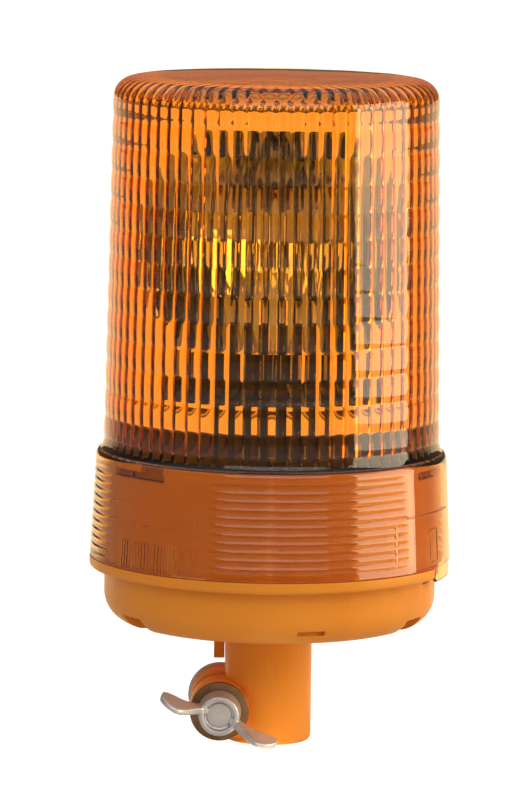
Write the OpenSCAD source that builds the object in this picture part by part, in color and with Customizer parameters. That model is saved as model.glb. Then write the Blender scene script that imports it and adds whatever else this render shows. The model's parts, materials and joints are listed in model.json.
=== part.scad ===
// Rotating warning beacon. A geared motor turns a parabolic reflector round a fixed halogen
// bulb under an amber lens, and a split socket clamps the beacon on a 24 mm standpipe.
// Millimetres. +Z is up, the front is towards -Y, and the origin is the centre of the pole
// socket's mouth. Angles are measured round Z from +X.

/* [Lens] */
// Outer radius of the dome at its foot
dome_foot_r = 68.3; // [68:0.1:68.6]
// Outer radius of the dome below its top curve
dome_top_r = 66; // [65.6:0.1:66.2]
// Height of the lens's crown above the socket's mouth
lens_top_z = 272; // [271:0.5:275]
// Wall thickness of the dome between flutes
dome_wall = 2.4; // [2.3:0.1:2.6]
// Number of vertical flutes moulded inside the dome
flute_count = 72; // [60:12:84]
// Depth of each flute
flute_depth = 1.1; // [0.8:0.1:1.2]
// Outer radius of the skirt at its lower rim
skirt_r = 73.5; // [73.4:0.1:74]
// Angle through which the lens turns to unlock
unlock_deg = 14; // [12:1:15]

/* [Base] */
// Outer radius of the pan
pan_r = 67.4; // [67:0.1:67.6]
// Height of the pan's underside near its rim
pan_z = 49; // [48.7:0.1:49.2]
// Radius of the pan's lower corner
pan_corner_r = 12; // [11:0.5:13]
// Wall thickness of the base moulding
base_wall = 2.6; // [2.4:0.1:2.8]
// Outer radius of the collar that carries the lens
collar_r = 68.8; // [68.6:0.1:69]

/* [Pole socket] */
// Bore radius for a 24 mm standpipe
pole_bore_r = 12.1; // [12.05:0.05:12.2]
// Depth to which the standpipe enters
pole_depth = 38; // [36:0.5:38]
// Outer radius of the socket tube
tube_r = 17.7; // [17.5:0.1:17.8]
// Width of the slit that the wing nut closes
slit_w = 5; // [4:0.5:6]

/* [Clamp] */
// Distance of the clamp bolt from the socket's axis
bolt_offset = 19.5; // [19.3:0.1:20]
// Height of the clamp bolt above the socket's mouth
bolt_z = 14.3; // [14:0.1:14.6]
// Radius of the clamp bolt's shank
bolt_r = 4.9; // [4.8:0.05:4.9]
// Span of the wing nut from tip to tip
wing_span = 51; // [48:1:52]
// Tilt of the wings, to the right and down
wing_tilt = 22; // [0:1:35]

/* [Gear train] */
// Teeth on the rotor gear
rotor_teeth = 60; // [60:1:60]
// Teeth on the idler's large wheel
idler_teeth = 48; // [48:1:48]
// Teeth on the idler's small pinion and on the motor pinion
pinion_teeth = 12; // [12:1:12]
// Direction of the idler pin from the rotor's axis
idler_dir = 43; // [40:1:46]
// Distance of the motor from the rotor's axis
motor_offset = 46; // [46:1:46]

/* [Reflector] */
// Radius of the reflector's rim
dish_r = 48; // [46:0.5:48]
// Focal length of the reflector's parabola
dish_focus = 18; // [17.5:0.5:18]
// Height of the filament and of the reflector's centre
focus_z = 203.5; // [203:0.5:204]
// Half of the height to which the reflector is trimmed
dish_half_h = 45; // [44:0.5:45]

/* [Hidden] */

$fn = 96;
// clearance that keeps cutting shapes clear of the faces they cut
over = 1;

// --- levels of the base
flange_z = 71.5;
flange_top_z = 76;
flange_r = 73.5;
flange_edge_r = 1.5;
collar_top_z = 118;
collar_t = 2.5;
floor_z = 46;
floor_flat_r = 30;
floor_top_z = floor_z + base_wall;
pan_inner_r = pan_r - base_wall;
pan_arc_x = pan_r - pan_corner_r;
pan_arc_z = pan_z + pan_corner_r;
collar_inner_r = collar_r - collar_t;
ledge_r = 63;
ledge_z = 110;

// --- bayonet and screw pockets, three round the base
third = 120;
bayonet_dirs = [for (k = [0:2]) -147 + k * third];
lug_deg = 8;
lug_gap_deg = 1.5;
lug_z = [113, 115.3];
lug_inner_r = 66.9;
slot_z = [112.6, 115.8];
pocket_r = 6.4;
pocket_offset = 57;
pocket_top_z = 55.4;
leg_offset = 56;
leg_r = 4.5;
leg_foot_z = 58;
screw_r = 1.6;

// --- the lens's thumb tab, the flange's notch that it turns in, and the breather vent
tab_dirs = [-24, -6];
tab_foot_z = 70.2;
notch_dirs = [tab_dirs[0] - 1.2, tab_dirs[1] + unlock_deg + 1.2];
vent_dirs = [-23.5, -16.5];
vent_z = [68.9, 71.1];

// --- deck, gears and rotor, from below upwards
deck_t = 3;
deck_top_z = ledge_z + deck_t;
deck_hole_r = 16;
plate_z = 89;
plate_t = 2;
plate_top_z = plate_z + plate_t;
plate_r = 50;
wheel_z = [93, 98];
rotor_gear_z = [100, 106];
sleeve_foot_z = 98.7;
sleeve_top_z = 141.5;
sleeve_r = 13;
bush_r = 11;
running_gap = 0.05;
post_r = 9;
post_bore_r = 6;
post_top_z = 154.5;
turntable_r = 32;
turntable_t = 3;
turntable_top_z = sleeve_top_z + turntable_t;
idler_pin_r = 2;
motor_r = 14;
motor_z = [54, plate_z];
motor_cap_t = 3;
motor_wall = 1.2;
shaft_r = 1.2;

// --- gear teeth, module 1
gear_module = 1;
pressure_deg = 20;
backlash = 0.12;
wheel_addendum = 0.75;
pinion_addendum = 1;
dedendum = 1.25;
idler_offset = gear_module * (rotor_teeth + pinion_teeth) / 2;
motor_gap = gear_module * (idler_teeth + pinion_teeth) / 2;
motor_dir = idler_dir - acos((idler_offset ^ 2 + motor_offset ^ 2 - motor_gap ^ 2)
    / (2 * idler_offset * motor_offset));
idler_pos = [idler_offset * cos(idler_dir), idler_offset * sin(idler_dir)];
motor_pos = [motor_offset * cos(motor_dir), motor_offset * sin(motor_dir)];
idler_to_motor = atan2(motor_pos[1] - idler_pos[1], motor_pos[0] - idler_pos[0]);
pinion_half_pitch = 180 / pinion_teeth;

// --- bulb
holder_top_z = 174.5;
bulb_flange_z = 176;
bulb_r = 4.6;
bulb_tip_z = 220.5;

// --- pole socket and clamp
socket_flange_r = 28;
socket_flange_t = 3;
socket_top_z = floor_top_z + socket_flange_t;
socket_plate_t = 1.5;
socket_screw_offset = 24;
contact_r = 8;
contact_gap = 0.2;
ring_t = 1.2;
ear_r = 12.1;
ear_front_y = -18;
ear_rear_y = 18;
ear_foot_z = 2.2;
slit_top_z = 30;
washer_t = 2;
washer_r = 12;
hub_h = 11;
hub_r = [9, 8.1];
wing_t = 3.4;
wing_reach = 25;

// ---------------------------------------------------------------- shared shapes

// points of an arc round c, from angle a to angle b
function arc(c, r, a, b, n) = [for (k = [0:n]) let(t = a + (b - a) * k / n)
    [c[0] + r * cos(t), c[1] + r * sin(t)]];

// angle by which an involute unwinds between its base circle and radius r
function involute_deg(base_r, r) = let(p = acos(min(1, base_r / r))) tan(p) * 180 / PI - p;

// half the angle that a tooth takes up at radius r
function tooth_deg(teeth, r) = let(
    pitch_r = teeth * gear_module / 2,
    base_r = pitch_r * cos(pressure_deg))
    90 / teeth - backlash / 2 / pitch_r * 180 / PI
    + involute_deg(base_r, pitch_r) - involute_deg(base_r, max(r, base_r));

// outline of a gear with a tooth centred on +X, through the radii given from root to tip
function gear_outline(teeth, radii) = [for (i = [0:teeth - 1])
    for (side = [-1, 1])
        for (k = [0:len(radii) - 1])
            let(
                r = radii[side < 0 ? k : len(radii) - 1 - k],
                a = i * 360 / teeth + side * tooth_deg(teeth, r))
            [r * cos(a), r * sin(a)]];

// radii through which a wheel's teeth are drawn
function wheel_radii(teeth) = let(p = teeth * gear_module / 2)
    [p - dedendum, p - wheel_addendum / 2, p + wheel_addendum / 3, p + wheel_addendum];

// radii through which a pinion's teeth are drawn
function pinion_radii(teeth) = let(p = teeth * gear_module / 2)
    [p - dedendum, p * cos(pressure_deg), p, p + pinion_addendum / 2, p + pinion_addendum];

// toothed blank with one tooth in the direction tooth_at
module gear_blank(teeth, radii, z, tooth_at) {
    translate([0, 0, z[0]])
        rotate(tooth_at)
            linear_extrude(z[1] - z[0])
                polygon(gear_outline(teeth, radii));
}

module gear(teeth, radii, z, bore_r, tooth_at) {
    difference() {
        gear_blank(teeth, radii, z, tooth_at);
        rod(bore_r, [z[0] - over, z[1] + over]);
    }
}

module tube(outer_r, inner_r, z) {
    translate([0, 0, z[0]])
        difference() {
            cylinder(r = outer_r, h = z[1] - z[0]);
            translate([0, 0, -over])
                cylinder(r = inner_r, h = z[1] - z[0] + 2 * over);
        }
}

module rod(r, z) {
    translate([0, 0, z[0]])
        cylinder(r = r, h = z[1] - z[0]);
}

// a block that fills a band of radius, angle and height
module sector(r, deg, z) {
    rotate(deg[0])
        rotate_extrude(angle = deg[1] - deg[0])
            translate([r[0], z[0]])
                square([r[1] - r[0], z[1] - z[0]]);
}

// places its children at a distance from the axis in a given direction
module at(dir, distance) {
    rotate(dir)
        translate([distance, 0, 0])
            children();
}

// screw with a domed head that points down
module screw_head_down(head_r, head_h, z) {
    rod(screw_r, z);
    translate([0, 0, z[0] - head_h])
        rotate_extrude()
            polygon(concat([[0, head_h]], [[head_r, head_h]],
                arc([head_r - head_h / 2, head_h / 2], head_h / 2, 0, -90, 6), [[0, 0]]));
}

// ---------------------------------------------------------------- base

pan_outline = concat(
    [[0, floor_z], [floor_flat_r, floor_z], [pan_arc_x, pan_z]],
    arc([pan_arc_x, pan_arc_z], pan_corner_r, -80, 0, 8),
    [[pan_r, flange_z]]);

housing_outline = concat(
    pan_outline,
    arc([flange_r - flange_edge_r, flange_z + flange_edge_r], flange_edge_r, -90, 0, 6),
    [[flange_r, flange_top_z], [collar_r, flange_top_z], [collar_r, collar_top_z],
        [collar_inner_r, collar_top_z], [collar_inner_r, ledge_z], [ledge_r, ledge_z],
        [ledge_r, ledge_z - collar_t], [collar_inner_r, ledge_z - 2 * collar_t],
        [collar_inner_r, flange_z + flange_edge_r], [pan_inner_r, flange_z]],
    arc([pan_arc_x, pan_arc_z], pan_corner_r - base_wall, 0, -90, 8),
    [[floor_flat_r, floor_top_z], [0, floor_top_z]]);

// inside of the pan as far as the middle of its wall, where the bosses end
boss_room = concat(
    [[0, floor_z + base_wall / 2], [floor_flat_r, floor_z + base_wall / 2],
        [pan_arc_x, pan_z + base_wall / 2]],
    arc([pan_arc_x, pan_arc_z], pan_corner_r - base_wall / 2, -80, 0, 8),
    [[pan_r - base_wall / 2, flange_z], [0, flange_z]]);

module screw_boss() {
    intersection() {
        rotate_extrude()
            polygon(boss_room);
        translate([pocket_offset - pocket_r - base_wall, -pocket_r - base_wall, floor_z])
            cube([pan_r, 2 * (pocket_r + base_wall), leg_foot_z - floor_z]);
    }
}

module screw_pocket() {
    translate([pocket_offset - pocket_r, -pocket_r, floor_z - over])
        cube([pan_r, 2 * pocket_r, pocket_top_z - floor_z + over]);
    translate([leg_offset, 0, floor_z])
        cylinder(r = screw_r + contact_gap, h = leg_foot_z);
}

module bayonet_slot() {
    reach = [collar_inner_r - over, collar_r + over];
    entry_half_deg = lug_deg / 2 + 1;
    sector(reach, [-lug_deg / 2 - lug_gap_deg, unlock_deg + lug_deg / 2 + lug_gap_deg], slot_z);
    sector(reach, [unlock_deg - entry_half_deg, unlock_deg + entry_half_deg],
        [slot_z[1] - over, collar_top_z + over]);
}

module base_housing() {
    drain_dirs = [-80, -70];
    drain_z = [53.4, 55.4];
    drain_foot_r = pan_arc_x + 8;
    lug_size = [4.3, 10, 15.1];
    lug_corner = [-22.3, 5, 32];
    color("chocolate")
        difference() {
            union() {
                rotate_extrude()
                    polygon(housing_outline);
                for (dir = bayonet_dirs)
                    rotate(dir)
                        screw_boss();
                translate(lug_corner)
                    cube(lug_size);
            }
            for (dir = bayonet_dirs)
                rotate(dir) {
                    screw_pocket();
                    bayonet_slot();
                }
            rod(tube_r + contact_gap, [floor_z - lug_size[2], floor_top_z + over]);
            sector([drain_foot_r, pan_r + over], drain_dirs, drain_z);
            sector([pan_r - base_wall - over, pan_r + over], vent_dirs, vent_z);
            sector([collar_r + contact_gap, flange_r + over], notch_dirs,
                [flange_z - over, flange_top_z + over]);
            for (k = [0:2])
                at(30 + k * third, socket_screw_offset)
                    rod(screw_r, [floor_z + 1, floor_top_z + over]);
        }
}

module vent_plug() {
    color("black")
        sector([pan_inner_r + contact_gap, pan_r - 1.2], vent_dirs, vent_z);
}

module lens_seal() {
    seal_r = [63.6, 66.1];
    seal_h = 6.2;
    bead_r = (seal_r[1] - seal_r[0]) / 2;
    color("black")
        rotate_extrude()
            polygon(concat(
                [[seal_r[0], deck_top_z], [seal_r[1], deck_top_z]],
                arc([seal_r[0] + bead_r, deck_top_z + seal_h - bead_r], bead_r, 0, 180, 10)));
}

module chassis() {
    boss_r = 20;
    boss_h = 3;
    color("black") {
        difference() {
            union() {
                rod(collar_inner_r - contact_gap, [ledge_z, deck_top_z]);
                rod(boss_r, [deck_top_z, deck_top_z + boss_h]);
            }
            rod(deck_hole_r, [ledge_z - over, deck_top_z + boss_h + over]);
        }
        for (dir = bayonet_dirs)
            at(dir, leg_offset)
                difference() {
                    rod(leg_r, [leg_foot_z, ledge_z + deck_t / 2]);
                    rod(screw_r, [leg_foot_z - over, leg_foot_z + 9]);
                }
    }
}

module chassis_screws() {
    color("silver")
        for (dir = bayonet_dirs)
            at(dir, leg_offset)
                screw_head_down(3.6, 2.6, [pocket_top_z, leg_foot_z + 8.5]);
}

// ---------------------------------------------------------------- gearbox

module gear_plate() {
    lobe_r = 15;
    color("gainsboro")
        difference() {
            union() {
                rod(plate_r, [plate_z, plate_top_z]);
                at(motor_dir, motor_offset)
                    rod(lobe_r, [plate_z, plate_top_z]);
            }
            rod(post_bore_r, [plate_z - over, plate_top_z + over]);
            at(idler_dir, idler_offset)
                rod(idler_pin_r, [plate_z - over, plate_top_z + over]);
            at(motor_dir, motor_offset)
                rod(3, [plate_z - over, plate_top_z + over]);
            motor_screw_places()
                rod(screw_r, [plate_z - over, plate_top_z + over]);
        }
}

module motor_screw_places() {
    for (side = [-1, 1])
        translate(concat(motor_pos, [0]))
            rotate(idler_to_motor + 90)
                translate([side * 10, 0, 0])
                    children();
}

module plate_standoffs() {
    color("silver")
        for (dir = [150, 225, 290])
            at(dir, 44)
                rod(3, [plate_top_z, ledge_z]);
}

module lamp_post() {
    foot_r = 14;
    foot_t = 1.5;
    shoulder_r = 10.4;
    color("lightsteelblue")
        difference() {
            union() {
                rod(foot_r, [plate_top_z, plate_top_z + foot_t]);
                rod(shoulder_r, [plate_top_z, sleeve_foot_z - running_gap]);
                rod(post_r, [plate_top_z, post_top_z]);
            }
            rod(post_bore_r, [plate_top_z - over, post_top_z + over]);
        }
}

module post_circlip() {
    color("silver")
        difference() {
            tube(12, post_r, [turntable_top_z + 0.3, turntable_top_z + 1.3]);
            translate([0, -2, turntable_top_z])
                cube([20, 4, 2]);
        }
}

module idler_pin() {
    color("silver")
        at(idler_dir, idler_offset)
            rod(idler_pin_r, [plate_z, 108.2]);
}

module idler_clip() {
    color("silver")
        at(idler_dir, idler_offset)
            tube(4, idler_pin_r, [107, 107.8]);
}

module idler_gear() {
    top_z = 106.6;
    pinion_foot_z = 99.4;
    color("white")
        translate(concat(idler_pos, [0]))
            difference() {
                union() {
                    gear_blank(idler_teeth, wheel_radii(idler_teeth), wheel_z, idler_to_motor);
                    rod(4.5, [wheel_z[0] + over, top_z - over]);
                    gear_blank(pinion_teeth, pinion_radii(pinion_teeth), [pinion_foot_z, top_z],
                        idler_dir + 180 + pinion_half_pitch);
                }
                rod(idler_pin_r + running_gap, [wheel_z[0] - over, top_z + over]);
            }
}

module motor_can() {
    color("silver")
        at(motor_dir, motor_offset)
            difference() {
                rod(motor_r, [motor_z[0] + motor_cap_t, motor_z[1]]);
                rod(motor_r - motor_wall, [motor_z[0] + motor_cap_t - over, motor_z[1] - 4]);
                rod(shaft_r + running_gap, [motor_z[0], motor_z[1] + over]);
                for (side = [-1, 1])
                    rotate(idler_to_motor - motor_dir + 90)
                        translate([side * 10, 0, 0])
                            rod(screw_r, [motor_z[1] - 3, motor_z[1] + over]);
            }
}

module motor_end_cap() {
    color("black")
        at(motor_dir, motor_offset)
            difference() {
                rod(motor_r, [motor_z[0], motor_z[0] + motor_cap_t]);
                rod(shaft_r + running_gap, [motor_z[0] + 1, motor_z[0] + motor_cap_t + over]);
            }
}

module motor_screws() {
    color("silver")
        motor_screw_places() {
            rod(screw_r, [motor_z[1] - 3, plate_top_z]);
            rod(2.2, [plate_top_z, plate_top_z + 1.4]);
        }
}

module motor_shaft() {
    color("silver")
        at(motor_dir, motor_offset)
            rod(shaft_r, [motor_z[0] + 1.2, wheel_z[1] + 0.5]);
}

module motor_armature() {
    slots = 8;
    color("firebrick")
        at(motor_dir, motor_offset)
            difference() {
                rod(10, [62, 80]);
                rod(shaft_r, [61, 81]);
                for (k = [0:slots - 1])
                    rotate(k * 360 / slots)
                        translate([6, -0.6, 61])
                            cube([5, 1.2, 20]);
            }
}

module motor_pinion() {
    color("gold")
        translate(concat(motor_pos, [0]))
            gear(pinion_teeth, pinion_radii(pinion_teeth), [wheel_z[0] - 0.5, wheel_z[1] + 0.5],
                shaft_r, idler_to_motor + 180 + pinion_half_pitch);
}

// ---------------------------------------------------------------- rotor

module rotor_gear() {
    color("white")
        gear(rotor_teeth, wheel_radii(rotor_teeth), rotor_gear_z, sleeve_r, idler_dir);
}

module rotor_sleeve() {
    color("black")
        tube(sleeve_r, bush_r, [sleeve_foot_z, sleeve_top_z]);
}

module bush_lower() {
    color("goldenrod")
        tube(bush_r, post_r + running_gap, [sleeve_foot_z, 106]);
}

module bush_upper() {
    color("goldenrod")
        tube(bush_r, post_r + running_gap, [sleeve_top_z - 8, sleeve_top_z]);
}

module turntable() {
    color("black")
        difference() {
            union() {
                rod(turntable_r - 1, [sleeve_top_z, sleeve_top_z + 1]);
                rod(turntable_r, [sleeve_top_z + 1, turntable_top_z]);
            }
            rod(post_r + 0.3, [sleeve_top_z - over, turntable_top_z + over]);
        }
}

bracket_half_w = 23.5;
bracket_front_y = -16.5;
bracket_back_y = 22.5;
bracket_t = 2.5;
dish_foot_z = focus_z - dish_half_h;
neck_r = 13.5;

module reflector_bracket() {
    foot_t = 2;
    back_half_w = 15;
    side_top_z = 154.5;
    front_top_z = dish_foot_z - 0.2;
    color("black")
        difference() {
            union() {
                rod(turntable_r - 2, [turntable_top_z, turntable_top_z + foot_t]);
                translate([-bracket_half_w, bracket_front_y, turntable_top_z])
                    cube([2 * bracket_half_w, bracket_t, front_top_z - turntable_top_z]);
                for (x = [-bracket_half_w, bracket_half_w - bracket_t])
                    translate([x, bracket_front_y, turntable_top_z])
                        cube([bracket_t, 32, side_top_z - turntable_top_z]);
                translate([-back_half_w, bracket_back_y, turntable_top_z])
                    cube([2 * back_half_w, bracket_t, focus_z + 8 - turntable_top_z]);
            }
            rod(neck_r, [turntable_top_z - over, front_top_z + over]);
            translate([0, 0, focus_z])
                rotate([-90, 0, 0])
                    rod(screw_r, [bracket_back_y - over, bracket_back_y + bracket_t + over]);
        }
}

// depth of the parabola at radius r, from its vertex
function bowl(r) = r * r / (4 * dish_focus);

module reflector() {
    steps = 12;
    skin = 1.4;
    bowl_r = dish_r - 2;
    bowl_depth = bowl(bowl_r);
    color("silver")
        difference() {
            // the bowl opens towards -Y with its focus on the rotor's axis
            translate([0, dish_focus, focus_z])
                rotate([90, 0, 0])
                    rotate_extrude()
                        polygon(concat(
                            [for (k = [0:steps]) let(r = bowl_r * k / steps) [r, bowl(r)]],
                            [[dish_r, bowl_depth], [dish_r, bowl_depth - skin]],
                            [for (k = [steps:-1:0]) let(r = bowl_r * k / steps)
                                [r, bowl(r) - skin]]));
            translate([-dish_r, -dish_r, focus_z - dish_half_h - dish_r])
                cube([2 * dish_r, 2 * dish_r, dish_r]);
            translate([-dish_r, -dish_r, focus_z + dish_half_h])
                cube([2 * dish_r, 2 * dish_r, dish_r]);
            rod(neck_r, [dish_foot_z - over, focus_z - 22]);
        }
    color("silver")
        translate([0, 0, focus_z])
            rotate([-90, 0, 0])
                tube(5, screw_r, [dish_focus + skin - 0.1, bracket_back_y]);
}

module reflector_screw() {
    color("silver")
        translate([0, 0, focus_z])
            rotate([-90, 0, 0]) {
                rod(screw_r, [dish_focus + 2.5, bracket_back_y + bracket_t]);
                rod(3.4, [bracket_back_y + bracket_t, bracket_back_y + bracket_t + 2]);
            }
}

module reflector_tabs() {
    tab_t = 0.8;
    tab_z = [151.5, dish_foot_z - 0.2];
    color("silver")
        for (x = [[0, 2], [13, 17]])
            translate([x[0], bracket_front_y - tab_t, tab_z[0]])
                cube([x[1] - x[0], tab_t, tab_z[1] - tab_z[0]]);
}

// ---------------------------------------------------------------- bulb

module bulb_holder() {
    color("dimgray")
        difference() {
            union() {
                rod(post_r, [post_top_z, post_top_z + 3]);
                rod(11, [post_top_z + 3, holder_top_z - 4]);
                rod(9.5, [holder_top_z - 4, holder_top_z]);
            }
            rod(5, [holder_top_z - 6, holder_top_z + over]);
        }
}

module bulb_base() {
    color("silver") {
        rod(5, [holder_top_z - 6, holder_top_z]);
        rod(7.5, [holder_top_z, bulb_flange_z]);
    }
}

module bulb_clip() {
    clip_t = 0.7;
    color("silver")
        difference() {
            union() {
                tube(7.4, 5.6, [bulb_flange_z, bulb_flange_z + clip_t]);
                for (side = [-1, 1])
                    translate([side < 0 ? -9 : 6.5, -1, bulb_flange_z])
                        cube([2.5, 2, clip_t]);
            }
            translate([-1.5, 0, bulb_flange_z - over])
                cube([3, 9, 3]);
        }
}

module bulb_glass() {
    glass_t = 0.8;
    shoulder_z = bulb_tip_z - bulb_r;
    color("white", 0.4)
        rotate_extrude()
            polygon(concat(
                [[bulb_r, bulb_flange_z]],
                arc([0, shoulder_z], bulb_r, 0, 90, 8),
                arc([0, shoulder_z], bulb_r - glass_t, 90, 0, 8),
                [[bulb_r - glass_t, bulb_flange_z]]));
}

module bulb_filament() {
    coil_r = 0.8;
    coil_half = 2.6;
    wire_r = 0.3;
    low_z = focus_z - coil_half;
    high_z = focus_z + coil_half;
    color("gray") {
        rod(coil_r, [low_z, high_z]);
        translate([0.4, 0, 0])
            rod(wire_r, [bulb_flange_z, low_z + 0.2]);
        translate([-2.2, 0, 0])
            rod(wire_r, [bulb_flange_z, high_z + wire_r]);
        translate([-2.2, 0, high_z])
            rotate([0, 90, 0])
                cylinder(r = wire_r, h = 2.2);
    }
}

// ---------------------------------------------------------------- pole socket

module clamp_axis() {
    translate([-bolt_offset, 0, bolt_z])
        rotate([-90, 0, 0])
            children();
}

module pole_socket() {
    mouth_round = 2;
    neck_flare = 2;
    color("chocolate")
        difference() {
            union() {
                rotate_extrude()
                    polygon(concat(
                        [[0, 0]],
                        arc([tube_r - mouth_round, mouth_round], mouth_round, -90, 0, 6),
                        [[tube_r, floor_z - neck_flare], [tube_r + neck_flare, floor_z],
                            [tube_r, floor_z], [tube_r, floor_top_z],
                            [socket_flange_r, floor_top_z], [socket_flange_r, socket_top_z],
                            [0, socket_top_z]]));
                clamp_axis()
                    rod(ear_r, [ear_front_y, ear_rear_y]);
                translate([-bolt_offset, ear_front_y + 4, ear_foot_z])
                    cube([bolt_offset, ear_rear_y - ear_front_y - 8, bolt_z - ear_foot_z]);
            }
            rod(pole_bore_r, [-over, pole_depth]);
            rod(pole_bore_r - contact_gap, [pole_depth - 0.5, pole_depth + ring_t]);
            rod(contact_r + contact_gap, [pole_depth, socket_top_z + over]);
            translate([-2 * bolt_offset, -slit_w / 2, -over])
                cube([2 * bolt_offset, slit_w, slit_top_z + over]);
            clamp_axis()
                rod(bolt_r + contact_gap, [ear_front_y - over, ear_rear_y + over]);
            for (k = [0:2])
                at(30 + k * third, socket_screw_offset)
                    rod(screw_r + contact_gap, [floor_top_z - over, socket_top_z + over]);
        }
}

module socket_plate() {
    color("silver")
        difference() {
            tube(socket_flange_r, 14, [socket_top_z, socket_top_z + socket_plate_t]);
            for (k = [0:2])
                at(30 + k * third, socket_screw_offset)
                    rod(screw_r + contact_gap,
                        [socket_top_z - over, socket_top_z + socket_plate_t + over]);
        }
}

module socket_screws() {
    head_z = socket_top_z + socket_plate_t;
    color("silver")
        for (k = [0:2])
            at(30 + k * third, socket_screw_offset) {
                rod(screw_r, [floor_z + 1.2, head_z]);
                rod(3.2, [head_z, head_z + 2]);
            }
}

contact_z = [41, 62];
pin_r = 2.95;
pin_head_z = [47, 49];
spring_top_z = 60.5;

module contact_housing() {
    flange_r2 = 12;
    color("dimgray")
        difference() {
            union() {
                rod(contact_r, contact_z);
                rod(flange_r2, [socket_top_z, socket_top_z + 2]);
            }
            rod(pin_r + running_gap, [contact_z[0] - over, pin_head_z[0]]);
            rod(4.8, [pin_head_z[0] - running_gap, spring_top_z]);
        }
}

module contact_pin() {
    tip_z = pole_depth + 0.3;
    color("gold") {
        rod(pin_r, [tip_z + 1, pin_head_z[1]]);
        translate([0, 0, tip_z])
            cylinder(r1 = pin_r - 1, r2 = pin_r, h = 1);
        rod(4.5, pin_head_z);
    }
}

module contact_spring() {
    coil_r = 3.2;
    wire_r = 0.5;
    turns = 5;
    color("silver")
        translate([0, 0, pin_head_z[1]])
            linear_extrude(spring_top_z - pin_head_z[1], twist = -360 * turns, slices = 60,
                segments = 8, $fn = 8)
                translate([coil_r, 0])
                    circle(r = wire_r, $fn = 8);
}

module ground_ring() {
    color("gold")
        tube(pole_bore_r - contact_gap, contact_r + contact_gap, [pole_depth, pole_depth + ring_t]);
}

module clamp_bolt() {
    head_r = 13.3;
    head_t = 4.5;
    end_y = -28;
    color("silver") {
        clamp_axis() {
            rod(bolt_r, [end_y, ear_rear_y]);
            translate([0, 0, ear_rear_y])
                rotate_extrude()
                    polygon(concat([[0, 0], [head_r, 0], [head_r, 1.5]],
                        arc([head_r - 3, 1.5], 3, 0, 90, 6), [[0, head_t]]));
        }
    }
}

module clamp_washer() {
    color("olive")
        clamp_axis()
            tube(washer_r, bolt_r + contact_gap, [ear_front_y - washer_t, ear_front_y]);
}

module wing_nut() {
    foot_y = ear_front_y - washer_t;
    wing_tip_r = 7.5;
    wing_tip = [wing_span / 2 - wing_tip_r, wing_reach - wing_tip_r];
    color("silver")
        translate([-bolt_offset, foot_y, bolt_z])
            rotate([90, 0, 0])
                difference() {
                    union() {
                        cylinder(r1 = hub_r[0], r2 = hub_r[1], h = hub_h);
                        rotate(-wing_tilt)
                            for (side = [0, 180])
                                rotate(side)
                                    translate([0, wing_t / 2, 0])
                                        rotate([90, 0, 0])
                                            linear_extrude(wing_t) {
                                                polygon([[3, 0.5], [hub_r[0] - 0.6, 0.5],
                                                    wing_tip + [3.5, -6], wing_tip + [-5.5, 4.5],
                                                    [hub_r[1] - 1, hub_h - 1.2],
                                                    [3, hub_h - 1.2]]);
                                                translate(wing_tip)
                                                    circle(r = wing_tip_r);
                                            }
                    }
                    translate([0, 0, -over])
                        cylinder(r = bolt_r + running_gap, h = wing_reach + 2 * over);
                    translate([0, 0, hub_h - 2.4])
                        cylinder(r = bolt_r + 0.7, h = wing_reach);
                }
}

// ---------------------------------------------------------------- wiring

module lead_lamp() {
    color("red")
        rod(1.2, [contact_z[1], post_top_z]);
}

module lead_motor() {
    color("blue")
        rotate(motor_dir)
            translate([contact_r, 0, motor_z[0] + 1.6])
                rotate([0, 90, 0])
                    cylinder(r = 1.1, h = motor_offset - motor_r - contact_r);
}

// ---------------------------------------------------------------- lens

lens_foot_z = flange_top_z + 0.3;
shoulder_z = 123;
shoulder_low_z = 117;
crown_r = 8.5;
crown_edge_z = lens_top_z - 1.5;
flute_top_z = 258;
skirt_top_r = 71.3;
skirt_wall = 2.1;
collar_gap = 0.5;

lens_outline = concat(
    [[0, lens_foot_z], [skirt_r, lens_foot_z], [skirt_top_r, shoulder_low_z]],
    arc([skirt_top_r - 3.4, shoulder_low_z], 3.4, 15, 60, 4),
    [[dome_foot_r + 0.4, shoulder_z - 1.6], [dome_foot_r, shoulder_z],
        [dome_top_r, crown_edge_z - crown_r]],
    arc([dome_top_r - crown_r, crown_edge_z - crown_r], crown_r, 10, 90, 8),
    [[0, lens_top_z]]);

// radius of the dome's bore at the ridges between flutes
function ridge_r(z) = dome_foot_r - dome_wall - flute_depth
    - (dome_foot_r - dome_top_r) * (z - shoulder_z) / (crown_edge_z - crown_r - shoulder_z);

// room inside the skirt, up to the ledge over the seal
ledge_top_z = 120.4;
skirt_room = [[0, lens_foot_z - over], [skirt_r - skirt_wall, lens_foot_z - over],
    [skirt_r - skirt_wall, lens_foot_z], [collar_r + collar_gap, shoulder_low_z],
    [collar_r + collar_gap, shoulder_low_z + 1.6],
    [dome_foot_r - dome_wall + 0.6, ledge_top_z], [0, ledge_top_z]];

// room under the crown, above the flutes
crown_room_r = ridge_r(flute_top_z) - 0.8;
crown_room = concat(
    [[0, flute_top_z - over], [crown_room_r, flute_top_z - over]],
    arc([crown_room_r - crown_r + 2, flute_top_z + 2], crown_r - 2, 0, 90, 8),
    [[0, flute_top_z + crown_r + 1]]);

flute_foot_z = ledge_top_z - over;
flute_outline = [for (k = [0:2 * flute_count - 1])
    let(r = ridge_r(flute_foot_z) + (k % 2 == 0 ? 0 : flute_depth), a = k * 180 / flute_count)
    [r * cos(a), r * sin(a)]];

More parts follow.
